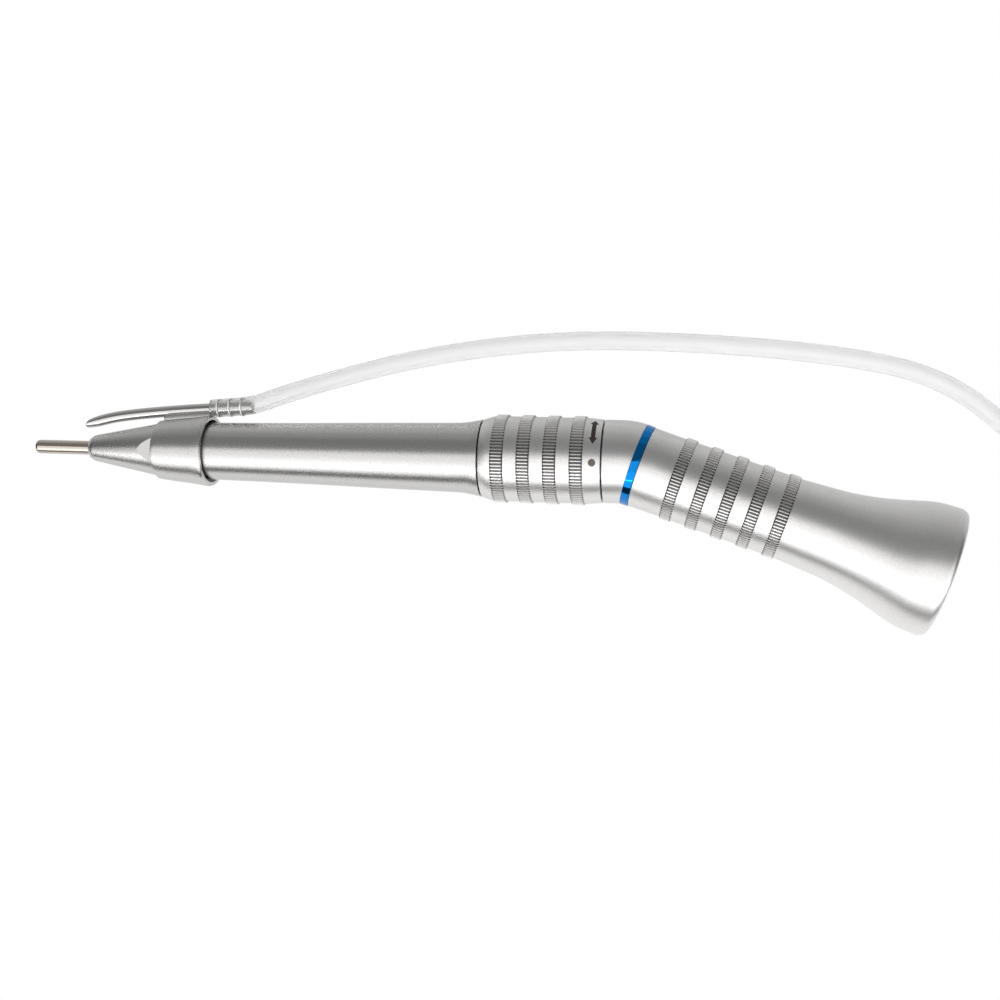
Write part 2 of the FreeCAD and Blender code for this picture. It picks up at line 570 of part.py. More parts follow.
def gear_shape(first_angle):
    """A bevel gear whose cone's point is the origin and whose back is towards -X."""
    inner, outer = value("gear_inner"), value("gear_outer")
    low = gear_point(inner, -value("gear_root"), 0, 0)
    high = gear_point(outer, -value("gear_root"), 0, 0)
    back = -value("gear_depth")
    bore = value("stub_r")
    corners = [Vector(back, bore, 0), Vector(back, high.y, 0), Vector(high.x, high.y, 0),
               Vector(low.x, low.y, 0), Vector(low.x, bore, 0)]
    blank = Part.Face(Part.makePolygon(corners + corners[:1])).revolve(Vector(), X_AXIS, 360)
    teeth = int(value("gear_teeth"))
    step = 360 / teeth
    return blank.fuse([gear_tooth(first_angle + index * step) for index in range(teeth)])


def gears():
    """One gear has a tooth, the other a gap, on the inside of the bend."""
    half_step = 180 / value("gear_teeth")
    keep(free_shape("front_bevel", gear_shape(180)), "spindle_gear", AT_PIVOT)
    mirrored = REAR.multiply(Placement(Vector(), Rotation(Z_AXIS, 180)))
    keep(free_shape("rear_bevel", gear_shape(half_step)), "drive_gear", mirrored)


# ---------------------------------------------------------------- rear of the handpiece
def rear_grip():
    outline = [("colour_ring_end_x", "grip_bore_r"), ("colour_ring_end_x", "grip_r")]
    outline += banded("grip_band_x", "grip_band_width", "grip_band_pitch", "grip_r",
                      "grip_crest_r", BAND_COUNT["grip"])
    outline += [(f"bell_x{letter}", f"bell_r{letter}") for letter in "abcdefghi"]
    outline += [("grip_end_x", "grip_end_r"), ("grip_end_x", "mouth_r"), ("mouth_x", "mouth_r"),
                ("mouth_x", "socket_seat_r"), ("socket_seat_x", "socket_seat_r"),
                ("socket_seat_x", "grip_bore_r")]
    keep(turned("grip_shell", outline), "rear_grip", REAR)
    keep(ring("socket", "socket_seat_x", "socket_end_x", "socket_r", "socket_seat_r"),
         "coupling_sleeve", REAR)
    keep(ring("retainer", "socket_end_x", "mouth_x", "retainer_bore_r", "socket_seat_r"),
         "retaining_ring", REAR)


def carrier():
    keep(turned("carrier", [
        ("elbow_rear", "housing_gear_r"), ("elbow_rear", "grip_bore_r"),
        ("carrier_end_x", "grip_bore_r"), ("carrier_end_x", "race_outer_r"),
        ("carrier_seat_x", "race_outer_r"), ("carrier_seat_x", "carrier_land_r"),
        ("carrier_land_x", "carrier_land_r"), ("carrier_land_x", "race_outer_r"),
        ("carrier_bore_x", "race_outer_r"), ("carrier_bore_x", "housing_gear_r")]),
        "rear_carrier", REAR)


def drive():
    keep(turned("shaft", [
        ("drive_x", "0"), ("drive_x", "stub_r"), ("drive_body_x", "stub_r"),
        ("drive_body_x", "race_inner_r"), ("drive_end_x", "race_inner_r"), ("drive_end_x", "0")]),
        "drive_shaft", REAR)
    keep(ring("clip_b", "drive_tail_x", "drive_clip_end_x", "race_inner_r", "circlip_r"),
         "drive_circlip", REAR)
    slot = block("dog_slot", ("dog_end_x - dog_slot_depth", "-dog_r", "-dog_slot_width / 2"),
                 ("2 * dog_slot_depth", "2 * dog_r", "dog_slot_width"))
    blank = rod("dog_blank", "drive_end_x", "dog_end_x - drive_end_x", "dog_r")
    keep(cut("dog_slotted", blank, slot), "drive_dog", REAR)


# ---------------------------------------------------------------- irrigation line
def tube_points():
    return [Vector(along, out, 0) for along, out in TUBE_ROUTE]


def irrigation_clip():
    fit = "clip_fit"
    blank = turned("clip_blank", [
        ("clip_x", f"cone_rear_r + {fit}"), ("clip_x", "clip_front_r"), ("clip_xa", "clip_ra"),
        ("clip_xb", "clip_rb"), ("clip_xc", "clip_rc"), ("clip_end_x", "clip_end_r"),
        ("clip_end_x", "clip_mouth_r"), ("barrel_xa", f"barrel_ra + {fit}"),
        ("cone_rear_x", f"cone_rear_r + {fit}")])
    saddle = block("saddle", ("saddle_x", "saddle_y", "-saddle_width / 2"),
                   ("saddle_length", "saddle_height", "saddle_width"))
    slit = block("clip_slit", ("clip_x", "spigot_r", "-clip_slit_width / 2"),
                 ("clip_end_x - clip_x", "spigot_r", "clip_slit_width"), value("clip_slit_turn"))
    room = free_shape("tube_room", route_tube(tube_points(), value("tube_r"), "tube room"))
    joined = fuse("clip_joined", [blank, saddle])
    keep(cut("clip_open", joined, fuse("clip_tools", [slit, room])), "irrigation_clip", FRONT)


def irrigation_tube():
    outer = route_tube(tube_points(), value("tube_r"), "irrigation tube")
    bore = route_tube(tube_points(), value("tube_bore_r"), "tube bore")
    keep(free_shape("steel_tube", outer.cut(bore)), "irrigation_tube", FRONT)


def barb_frame():
    """Along the last run of the tube, with X zero level with the nose tip."""
    last, end = tube_points()[-2:]
    slope = math.degrees(math.atan2(end.y - last.y, end.x - last.x))
    back = Vector(-value("barb_end_x"), 0, 0)
    lift = Placement(end, Rotation(Z_AXIS, slope)).multiply(Placement(back, Rotation()))
    return FRONT.multiply(lift)


def hose_barb():
    outline = [("barb_x", "tube_r"), ("barb_x", "barb_r")]
    for index in range(BARB_RINGS):
        start = f"barb_ring_x + {index} * barb_ring_pitch"
        end = f"{start} + barb_ring_width"
        outline += [(start, "barb_r"), (start, "barb_ring_r"), (end, "barb_r")]
    outline += [("barb_end_x", "barb_r"), ("barb_end_x", "tube_r")]
    keep(turned("barb", outline), "hose_barb", barb_frame())
    keep(ring("cuff", "hose_cuff_x", "barb_end_x", "barb_ring_r", "hose_r"),
         "hose_cuff", barb_frame())


def hose_run():
    origin = Vector(value("pivot_x"), value("pivot_y"), 0)
    points = [origin + Vector(*place) for place in HOSE_ROUTE]
    tube = route_tube(points, value("hose_r"), "hose")
    keep(free_shape("hose_tube", tube), "hose_run", FLOOR)


def hose_coil():
    """A ring of the coil's outer shape, on the tie that goes round it."""
    low, high = "coil_z", "coil_z + coil_height"
    body = turned("coil_blank", [
        (low, "coil_inner_r + coil_round"), (low, "coil_outer_r - coil_round"),
        (f"{low} + coil_round", "coil_outer_r"), (f"{high} - coil_round", "coil_outer_r"),
        (high, "coil_outer_r - coil_round"), (high, "coil_inner_r + coil_round"),
        (f"{high} - coil_round", "coil_inner_r"), (f"{low} + coil_round", "coil_inner_r")])
    upright = Rotation(Y_AXIS, -90)
    keep(body, "hose_coil", Placement(COIL_POINT, upright))


def hose_tie():
    """A flat band closed round the coil's section, at its far side."""
    gap, wall = "tie_gap", "tie_wall"
    thick = f"({gap} + {wall})"
    inner = block("tie_room", (f"coil_inner_r - {gap}", "-tie_width", f"coil_z - {gap}"),
                  (f"coil_outer_r - coil_inner_r + 2 * {gap}", "2 * tie_width",
                   f"coil_height + 2 * {gap}"))
    outer = block("tie_block", (f"coil_inner_r - {thick}", "-tie_width / 2", f"coil_z - {thick}"),
                  (f"coil_outer_r - coil_inner_r + 2 * {thick}", "tie_width",
                   f"coil_height + 2 * {thick}"))
    keep(cut("tie_band", outer, inner), "hose_tie", Placement(COIL_POINT, Rotation(Z_AXIS, 100)))


def hose_tail():
    points = [COIL_POINT + Vector(*place) for place in TAIL_ROUTE]
    keep(free_shape("tail_tube", route_tube(points, value("hose_r"), "hose tail")), "hose_tail",
         FLOOR)


def hose_connector():
    """A luer socket on the hose's far end, lying beside the coil."""
    last, end = TAIL_ROUTE[-2:]
    heading = math.degrees(math.atan2(end[1] - last[1], end[0] - last[0]))
    here = Placement(COIL_POINT + Vector(*end), Rotation(Z_AXIS, heading))
    length, nut = "connector_length", "connector_nut_length"
    keep(turned("connector", [
        ("0", "0"), ("0", "connector_nut_r"), (nut, "connector_nut_r"), (nut, "connector_r"),
        (length, "connector_r"), (length, "luer_r"), (f"{length} - luer_depth", "luer_r"),
        (f"{length} - luer_depth", "0")]), "hose_connector", here)


nose_cone()
front_shells()
bearing("front_bearing", FRONT, "bearing_a_x")
bearing("second_bearing", FRONT, "bearing_b_x")
bearing("middle_bearing", FRONT, "bearing_c_x")
spindle()
collet()
drawbar()
test_shank()
cam_housing()
push_sleeve()
twist_ring()
elbow()
gears()
rear_grip()
carrier()
bearing("drive_bearing", REAR, "bearing_d_x")
bearing("tail_bearing", REAR, "bearing_e_x")
drive()
irrigation_clip()
irrigation_tube()
hose_barb()
hose_run()
hose_coil()
hose_tie()
hose_tail()
hose_connector()
doc.recompute()

faults = [item.Name for item in doc.Objects if "Invalid" in item.State or "Error" in item.State]
faults += [item.Label for item in pieces if item.Shape.isNull() or not item.Shape.isValid()]
if faults:
    raise SystemExit(f"failed pieces: {faults}")
os.makedirs("parts", exist_ok=True)
for item in pieces:
    item.Shape.exportStep(f"parts/{item.Label}.step")
print(len(pieces), "pieces written")
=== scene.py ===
"""Looks of the angled surgical handpiece and its irrigation line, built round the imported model."""

import json
import math

import bmesh
import bpy
from mathutils import Matrix, Vector


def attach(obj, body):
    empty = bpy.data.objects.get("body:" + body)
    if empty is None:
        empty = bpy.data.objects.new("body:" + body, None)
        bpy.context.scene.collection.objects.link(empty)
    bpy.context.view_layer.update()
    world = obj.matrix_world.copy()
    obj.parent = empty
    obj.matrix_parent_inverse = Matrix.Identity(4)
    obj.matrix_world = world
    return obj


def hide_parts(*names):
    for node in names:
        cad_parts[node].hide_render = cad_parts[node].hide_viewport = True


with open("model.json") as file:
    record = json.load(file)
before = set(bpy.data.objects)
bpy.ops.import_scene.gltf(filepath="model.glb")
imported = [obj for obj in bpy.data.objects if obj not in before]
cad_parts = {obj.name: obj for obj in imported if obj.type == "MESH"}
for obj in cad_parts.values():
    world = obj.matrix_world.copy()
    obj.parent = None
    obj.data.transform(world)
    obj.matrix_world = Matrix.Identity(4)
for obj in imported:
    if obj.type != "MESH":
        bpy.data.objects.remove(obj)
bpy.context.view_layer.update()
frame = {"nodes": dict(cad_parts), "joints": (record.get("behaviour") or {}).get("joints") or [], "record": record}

MM = 0.001
TURN = 2 * math.pi

# Lengths are in millimetres. An S is measured along the front axis from the nose tip, and the
# rear's lengths along its own axis from the pivot.

# where the two axes lie: a joint on each gives a point and the direction towards the motor end
RING_JOINT_S = 78.0
DRIVE_JOINT_Q = 12.0
PIVOT_S = 90.9
HALF_BEND = math.radians(9)

# how finely the shells are turned
SEGMENTS = 192
FINE_SEGMENTS = 256
SMALL_SEGMENTS = 48
KNURLS = 84
KNURL_STEPS = 6
KNURL_SHAPE = [1, 1, 1, 0.15, 0, 0.15]
KNURL_BEVEL = 0.22
SEAM_EDGE = 0.08

# knurled bands: first start, width, pitch, count, then radius of the land, groove and crest
RING_BANDS = (69.85, 2.1, 4.15, 4, 6.82, 6.6, 7.07)
GRIP_BANDS = (7.55, 1.88, 4.17, 5, 6.44, 6.24, 6.72)

# the nose's wrench flats: how far they lean round the axis and stand out from it
FLAT_LEAN = math.radians(-6)
FLAT_OUT = 3.98

# the smooth land behind the ring's bands, and where its marks lie
LAND_S, LAND_R, LAND_SLOPE = 84.6, 6.83, 0.092
MARK_S = 85.85
MARK_LIFT = 0.012
MARK_THICKNESS = 0.02

# elbow
ELBOW_S = 87.3
ELBOW_REAR = 1.06
ELBOW_R, ELBOW_BORE_R = 6.6, 5.25
BEND_STEPS = 16

# hose
HOSE_R = 1.5
LUMEN_R = 0.85
HOSE_ROUTE = [
    (-62.5, 7.56, 5.35), (-58.0, 9.35, 4.6), (-52.5, 11.3, 3.0), (-46.0, 13.3, 1.9),
    (-38.0, 15.45, 1.5), (-28.5, 17.3, 1.5), (-17.0, 18.85, 1.5), (-5.4, 19.5, 1.5),
    (7.0, 19.35, 1.5), (19.0, 18.8, 1.5), (31.0, 17.75, 1.5), (41.5, 16.1, 1.5),
    (48.0, 13.9, 1.5), (53.0, 11.1, 1.5), (57.2, 7.7, 1.5), (62.0, 3.8, 1.5),
    (68.0, 1.0, 1.5), (75.5, -0.3, 1.6), (82.5, -0.5, 2.0),
]
TAIL_ROUTE = [
    (3.7, -21.2, 11.0), (13.0, -20.6, 10.3), (20.6, -15.6, 7.4), (25.6, -9.0, 4.3),
    (27.6, -2.0, 3.3), (27.6, 3.0, 3.3),
]
COIL_OFFSET = (82.5, 22.0)
COIL_OUTER = 22.4
COIL_COLUMN = 3.0
COIL_LAYER = 3.0
COIL_LOW = 2.0
COIL_TURNS_PER_LAYER = 4
COIL_TURNS = 14
COIL_CLIMB = 0.25
POINTS_PER_TURN = 16

# irrigation tube: along the front axis and out from it
TUBE_ROUTE = [(-1.2, 4.0), (1.5, 4.8), (5.2, 5.6), (12.6, 6.45), (20.8, 7.1), (28.4, 7.6)]
TUBE_R = 0.925
TUBE_WALL = 0.3
TUBE_END_OUT = 7.15
PINCH_LENGTH, PINCH_DEPTH = 3.0, 0.38
BARB_START, BARB_END = 21.1, 28.4
BARB_R, BARB_STEP_R, BARB_BORE_R = 1.05, 1.3, 0.6
BARB_STEPS, BARB_PITCH = 3, 2.05
# where the barb's first step and the first painted highlight ring start
BARB_FIRST, HIGHLIGHT_RING_FIRST = 22.2, 22.3


# ------------------------------------------------------------------ frames of the two axes
joints = {joint["name"]: joint for joint in frame["joints"]}


def axis_frame(joint, along):
    """The point at zero on a joint's axis, and the axis."""
    axis = Vector(joints[joint]["axis"]).normalized()
    return Vector(joints[joint]["pos_m"]) - axis * along * MM, axis


nose_tip, front_axis = axis_frame("ring_turn", RING_JOINT_S)
pivot, rear_axis = axis_frame("drive_spin", DRIVE_JOINT_Q)
up_axis = rear_axis.cross(front_axis).normalized()


def place(origin, axis):
    """Matrix whose X runs along an axis, with Y in the plane of the bend."""
    side = up_axis.cross(axis)
    turn = Matrix((axis, side, up_axis)).transposed().to_4x4()
    return Matrix.Translation(origin) @ turn


FRONT = place(nose_tip, front_axis)
REAR = place(pivot, rear_axis)
ELBOW = place(pivot, front_axis)
FLOOR_POINT = Vector((pivot.x, pivot.y, 0))
COIL_POINT = FLOOR_POINT + Vector((COIL_OFFSET[0] * MM, COIL_OFFSET[1] * MM, 0))


# ------------------------------------------------------------------ mesh helpers
def rounded(outline):
    """Corners (x, r, rounding) turned into points, each corner cut back and curved."""
    points = []
    count = len(outline)
    for index, (x, r, size) in enumerate(outline):
        here = Vector((x, r))
        if size <= 0:
            points.append(here)
            continue
        before = Vector(outline[index - 1][:2]) - here
        after = Vector(outline[(index + 1) % count][:2]) - here
        reach = min(size, 0.48 * before.length, 0.48 * after.length)
        start = here + before.normalized() * reach
        end = here + after.normalized() * reach
        steps = 3 if size < 0.5 else 8
        for step in range(steps + 1):
            share = step / steps
            points.append(start.lerp(here, share).lerp(here.lerp(end, share), share))
    return points


def finish_mesh(name, bm, where, sharp=38.0, normals=True):
    """Make an object of a bmesh in millimetres, placed in its mesh."""
    bmesh.ops.remove_doubles(bm, verts=bm.verts, dist=1e-5)
    if normals:
        bmesh.ops.recalc_face_normals(bm, faces=bm.faces)
    bmesh.ops.transform(bm, matrix=where @ Matrix.Scale(MM, 4), verts=bm.verts)
    mesh = bpy.data.meshes.new(name)
    bm.to_mesh(mesh)
    bm.free()
    mesh.shade_smooth()
    mesh.set_sharp_from_angle(angle=math.radians(sharp))
    item = bpy.data.objects.new(name, mesh)
    bpy.context.scene.collection.objects.link(item)
    return item


def turn_outline(bm, outline, segments=SEGMENTS):
    """Turn a closed outline about X into a closed shell."""
    points = rounded(outline)
    verts = [bm.verts.new((point.x, point.y, 0)) for point in points]
    count = len(verts)
    edges = [bm.edges.new((verts[index], verts[(index + 1) % count])) for index in range(count)]
    bmesh.ops.spin(bm, geom=verts + edges, cent=(0, 0, 0), axis=(1, 0, 0), angle=TURN,
                   steps=segments, use_merge=True, use_duplicate=False)


def turned(name, outline, where, segments=SEGMENTS):
    bm = bmesh.new()
    turn_outline(bm, outline, segments)
    return finish_mesh(name, bm, where)


def recesses(bands):
    """Outline corners of the shell where the knurled bands are let in."""
    first, width, pitch, count, land, groove, _ = bands
    corners = []
    for index in range(count):
        start = first + pitch * index
        corners += [(start + 0.01, land, 0), (start + 0.01, groove - 0.1, 0),
                    (start + width - 0.01, groove - 0.1, 0), (start + width - 0.01, land, 0)]
    return corners


def knurled_bands(bm, bands):
    first, width, pitch, count, land, groove, crest = bands
    for index in range(count):
        knurled_band(bm, first + pitch * index, width, land, groove, crest)


def knurled_band(bm, start, width, land, groove, crest):
    """A raised band cut with straight grooves, as a closed ring let into the shell."""
    bevel = KNURL_BEVEL
    rim = land + 0.2 * (crest - land)
    full = (rim - groove) / (crest - groove)
    stations = [(0, groove - 0.2, 0), (0, rim, full), (bevel, crest, 1),
                (width - bevel, crest, 1), (width, rim, full), (width, groove - 0.2, 0)]
    made = bmesh.ops.create_circle(bm, cap_ends=False, radius=1, segments=KNURLS * KNURL_STEPS)
    ring = sorted(made["verts"], key=lambda v: math.atan2(v.co.y, v.co.x))
    angles = [math.atan2(v.co.y, v.co.x) for v in ring]
    edges = list({edge for vert in ring for edge in vert.link_edges})
    first = edges
    for index, (along, radius, cut) in enumerate(stations):
        if index:
            made = bmesh.ops.extrude_edge_only(bm, edges=edges)["geom"]
            edges = [item for item in made if isinstance(item, bmesh.types.BMEdge)]
            ring = sorted([item for item in made if isinstance(item, bmesh.types.BMVert)],
                          key=lambda v: math.atan2(v.co.z, v.co.y))
        for spot, vert in enumerate(ring):
            sunk = cut * (crest - groove) * (1 - KNURL_SHAPE[spot % KNURL_STEPS])
            reach = radius - sunk
            angle = angles[spot]
            vert.co = Vector((start + along, reach * math.cos(angle), reach * math.sin(angle)))
    bmesh.ops.bridge_loops(bm, edges=first + edges)
    # faces low in the grooves take slot 1, the darker steel that paints shade into them
    half = 0.5 * (crest + groove)
    for face in bm.faces:
        middle = face.calc_center_median()
        if start < middle.x < start + width and middle.yz.length < half:
            face.material_index = 1


def route_curve(name, points, radius, sides, resolution):
    """A smooth line through control points in metres, with a round section."""
    curve = bpy.data.curves.new(name, "CURVE")
    curve.dimensions = "3D"
    curve.resolution_u = resolution
    curve.bevel_depth = radius
    curve.bevel_resolution = sides // 2
    curve.use_fill_caps = radius > 0
    spline = curve.splines.new("NURBS")
    spline.points.add(len(points) - 1)
    for point, spot in zip(spline.points, points):
        point.co = (*spot, 1)
    spline.order_u = 3
    spline.use_endpoint_u = True
    return curve


def curve_mesh(name, points, radius, sides, resolution):
    """The mesh of a route's round tube, taken from its curve."""
    item = bpy.data.objects.new(name, route_curve(name, points, radius, sides, resolution))
    bpy.context.scene.collection.objects.link(item)
    bpy.context.view_layer.update()
    shown = item.evaluated_get(bpy.context.evaluated_depsgraph_get())
    mesh = bpy.data.meshes.new_from_object(shown)
    curve = item.data
    bpy.data.objects.remove(item)
    bpy.data.curves.remove(curve)
    return mesh


# ------------------------------------------------------------------ materials
def linear(code):
    """An sRGB hex colour as linear RGBA."""
    values = [int(code[index:index + 2], 16) / 255 for index in (1, 3, 5)]
    return [v / 12.92 if v <= 0.04045 else ((v + 0.055) / 1.055) ** 2.4 for v in values] + [1]


def add(tree, kind, settings=None, **links):
    """Add a node, set its properties or sockets by name, and link its inputs."""
    node = tree.nodes.new(kind)
    for key, value in (settings or {}).items():
        if hasattr(node, key):
            setattr(node, key, value)
        else:
            node.inputs[key].default_value = value
    for key, source in links.items():
        socket = node.inputs[int(key[1:])] if key[0] == "i" and key[1:].isdigit() else \
            node.inputs[key.replace("_", " ")]
        tree.links.new(source, socket)
    return node


def new_material(name):
    material = bpy.data.materials.new(name)
    material.use_nodes = True
    material.node_tree.nodes.clear()
    return material, material.node_tree


def close(tree, shader):
    add(tree, "ShaderNodeOutputMaterial", None, Surface=shader.outputs[0])


def metal(name, colour, rough, grain_mm, grain_rough=0.0, grain_bump=0.0, tone=0.0):
    """A metal whose surface is broken up by a grain of a real size."""
    material, tree = new_material(name)
    spot = add(tree, "ShaderNodeTexCoord")
    grain = add(tree, "ShaderNodeTexNoise", {"Scale": 1 / (grain_mm * MM), "Detail": 3.0,
                                             "Roughness": 0.6}, Vector=spot.outputs["Object"])
    shader = add(tree, "ShaderNodeBsdfPrincipled", {"Metallic": 1.0, "Base Color": linear(colour)})
    spread = add(tree, "ShaderNodeMapRange", {"To Min": rough - grain_rough,
                                              "To Max": rough + grain_rough},
                 Value=grain.outputs["Fac"])
    tree.links.new(spread.outputs[0], shader.inputs["Roughness"])
    if tone:
        shade = add(tree, "ShaderNodeMix", {"data_type": "RGBA"})
        shade.inputs[6].default_value = linear(colour)
        darker = [channel * (1 - tone) for channel in linear(colour)[:3]] + [1]
        shade.inputs[7].default_value = darker
        contrast = add(tree, "ShaderNodeMapRange", {"From Min": 0.35, "From Max": 0.65},
                       Value=grain.outputs["Fac"])
        tree.links.new(contrast.outputs[0], shade.inputs[0])
        tree.links.new(shade.outputs[2], shader.inputs["Base Color"])
    if grain_bump:
        bump = add(tree, "ShaderNodeBump", {"Strength": grain_bump, "Distance": 0.02 * MM},
                   Height=grain.outputs["Fac"])
        tree.links.new(bump.outputs[0], shader.inputs["Normal"])
    close(tree, shader)
    return material


def blasted_steel(name, colour, rough, bump):
    """Stainless steel, bead-blasted: a soft even sheen broken by a fine sparkle.

    The beads leave dimples near 0.06 mm; they are drawn at 0.2 mm so that they show.
    """
    return metal(name, colour, rough, grain_mm=0.2, grain_rough=0.05, grain_bump=bump, tone=0.12)


def plain(name, colour, rough, grain_mm=0.4, bump=0.1, **sockets):
    """A moulded or painted finish with a faint unevenness."""
    material, tree = new_material(name)
    spot = add(tree, "ShaderNodeTexCoord")
    grain = add(tree, "ShaderNodeTexNoise", {"Scale": 1 / (grain_mm * MM), "Detail": 2.0},
                Vector=spot.outputs["Object"])
    relief = add(tree, "ShaderNodeBump", {"Strength": bump, "Distance": 0.02 * MM},
                 Height=grain.outputs["Fac"])
    shader = add(tree, "ShaderNodeBsdfPrincipled", {
        "Base Color": linear(colour), "Roughness": rough},
        Normal=relief.outputs[0])
    for key, value in sockets.items():
        shader.inputs[key.replace("_", " ")].default_value = value
    close(tree, shader)
    return material


BLASTED = blasted_steel("bead_blasted_steel", "#CDCCCB", 0.27, 0.55)
GRIP = blasted_steel("bead_blasted_grip_steel", "#E3E2E1", 0.33, 0.9)
# knurl grooves: a darker steel laid into the recesses as painted shade
GROOVE_PAINTED_SHADE = metal("knurl_groove_painted_shade", "#8E8D8C", 0.35, grain_mm=0.3, grain_rough=0.04,
               grain_bump=0.2)
MILLED = metal("milled_steel_flat", "#CFCECD", 0.42, grain_mm=0.3, grain_rough=0.02)
ANODISED = metal("polished_blue_anodised_aluminium", "#107CC8", 0.08, grain_mm=0.5,
                 grain_rough=0.02)
POLISHED = metal("polished_stainless_tube", "#C6C5C3", 0.14, grain_mm=0.5, grain_rough=0.03)
SHANK = metal("ground_tool_steel", "#C3BAB0", 0.13, grain_mm=0.12, grain_rough=0.04,
              grain_bump=0.25)
BEARING = metal("ground_bearing_steel", "#C8C9CC", 0.12, grain_mm=0.3, grain_rough=0.02)
HARDENED = metal("hardened_machined_steel", "#8D8E92", 0.28, grain_mm=0.15, grain_rough=0.06,
                 grain_bump=0.3)
SPRING = metal("drawn_spring_wire", "#77787D", 0.3, grain_mm=0.1, grain_rough=0.06,
               grain_bump=0.3)
BRASS = metal("turned_brass", "#D3A95A", 0.25, grain_mm=0.15, grain_rough=0.05, grain_bump=0.3)
RUBBER = plain("nitrile_rubber", "#17171A", 0.6)
TIE = plain("soft_white_rubber", "#E6E8EA", 0.5)
ENGRAVED = plain("laser_marked_oxide", "#3B3330", 0.55, grain_mm=0.15, bump=0.3, Metallic=0.3)
DOT_INK = plain("brown_oxide_dot", "#6A6056", 0.5, grain_mm=0.15, bump=0.3, Metallic=0.3)
# milky silicone hose; its faint white emission is a painted glow that brightens the hose
SILICONE_WITH_PAINTED_GLOW = plain("milky_silicone_painted_glow", "#FCFCFC", 0.2, grain_mm=1.5, bump=0.05,
                 Transmission_Weight=0.7, IOR=1.41, Emission_Color=linear("#FFFFFF"),
                 Emission_Strength=0.04)
CUFF = plain("clear_stretched_silicone", "#F0F0F0", 0.2, grain_mm=1.5, bump=0.05,
             Transmission_Weight=0.82, IOR=1.2)
# white rings on the hose over the barb: a painted highlight
PAINTED_HIGHLIGHT_WHITE = plain("silicone_painted_highlight", "#FBFBFB", 0.4, grain_mm=1.5, bump=0.05)
CLEAR_PLASTIC = plain("moulded_polycarbonate", "#EEF3F6", 0.15, grain_mm=2.0, bump=0.05,
                      Transmission_Weight=0.7, IOR=1.58)

SLOT_MATERIALS = {
    "blasted_metal": BLASTED, "grip_metal": GRIP, "blue_anodised": ANODISED,
    "polished_steel": POLISHED, "tool_steel": SHANK, "bearing_steel": BEARING,
    "hardened_steel": HARDENED, "spring_steel": SPRING, "brass": BRASS, "seal_rubber": RUBBER,
    "silicone_hose": SILICONE_WITH_PAINTED_GLOW, "connector_plastic": CLEAR_PLASTIC, "tie_rubber": TIE,
}


def dress(item, material, body, slot, *nodes):
    """Give a new piece its finish, body and the CAD nodes that it stands for; slot is not used."""
    item.data.materials.append(material)
    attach(item, body)
    if nodes:
        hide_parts(*nodes)
    return item


def dress_cad_nodes():
    """Every CAD node gets the finish of its slot."""
    slots = {part["node"]: part["material_slot"] for part in frame["record"]["subparts"]}
    for name, node in frame["nodes"].items():
        node.data.materials.clear()
        node.data.materials.append(SLOT_MATERIALS[slots[name]])


# ------------------------------------------------------------------ camera, light and floor
# the camera's place in millimetres and its angles in degrees; the lights and table in metres
CAMERA_FROM_PIVOT = (11.34, 4.63, 206.02)
CAMERA_ANGLES = (-2.885, 8.799, 1.442)
CAMERA_LENS = 46.8
LIGHT_DISTANCE = 0.8
LIGHT_LENGTH = 2.4
WORLD_GLOW = 0.07
TABLE_HALF = 1.5
# the table's glow to other rays: brighter on the near side, dimmer on the far side, painted light and shade
TABLE_NEAR, TABLE_NEAR_Y = 1.1, -0.02
TABLE_FAR, TABLE_FAR_Y = 0.6, 0.025


def camera():
    data = bpy.data.cameras.new("camera")
    data.lens = CAMERA_LENS
    data.sensor_width = 36
    data.clip_start = 0.01
    item = bpy.data.objects.new("camera", data)
    item.location = pivot + Vector(CAMERA_FROM_PIVOT) * MM
    item.rotation_euler = [math.radians(angle) for angle in CAMERA_ANGLES]
    bpy.context.scene.collection.objects.link(item)
    bpy.context.scene.camera = item


def softbox(name, lean, half_angle, radiance):
    """A long soft light over the handpiece; lean is degrees from overhead towards +Y."""
    across = 2 * LIGHT_DISTANCE * math.tan(math.radians(half_angle))
    data = bpy.data.lights.new(name, "AREA")
    data.shape = "RECTANGLE"
    data.size = across
    data.size_y = LIGHT_LENGTH
    data.energy = radiance * across * LIGHT_LENGTH * math.pi
    item = bpy.data.objects.new(name, data)
    away = Vector((0, math.sin(math.radians(lean)), math.cos(math.radians(lean))))
    item.location = pivot + away * LIGHT_DISTANCE
    item.rotation_euler = away.to_track_quat("Z", "X").to_euler()
    bpy.context.scene.collection.objects.link(item)


def lighting():
    """A deep softbox over the near side, brighter low down, and weak fill from the far side."""
    softbox("key", -27, 39, 1.25)
    softbox("key_core", -42, 24, 0.35)
    softbox("lamp", -43, 1.6, 5.0)
    softbox("far_fill", 52, 40, 0.19)
    softbox("far_low_fill", 78, 14, 0.15)
    world = bpy.data.worlds.new("dim_room")
    bpy.context.scene.world = world
    world.use_nodes = True
    world.node_tree.nodes["Background"].inputs["Color"].default_value = linear("#FFFFFF")
    world.node_tree.nodes["Background"].inputs["Strength"].default_value = WORLD_GLOW
    bpy.context.scene.view_settings.view_transform = "Standard"


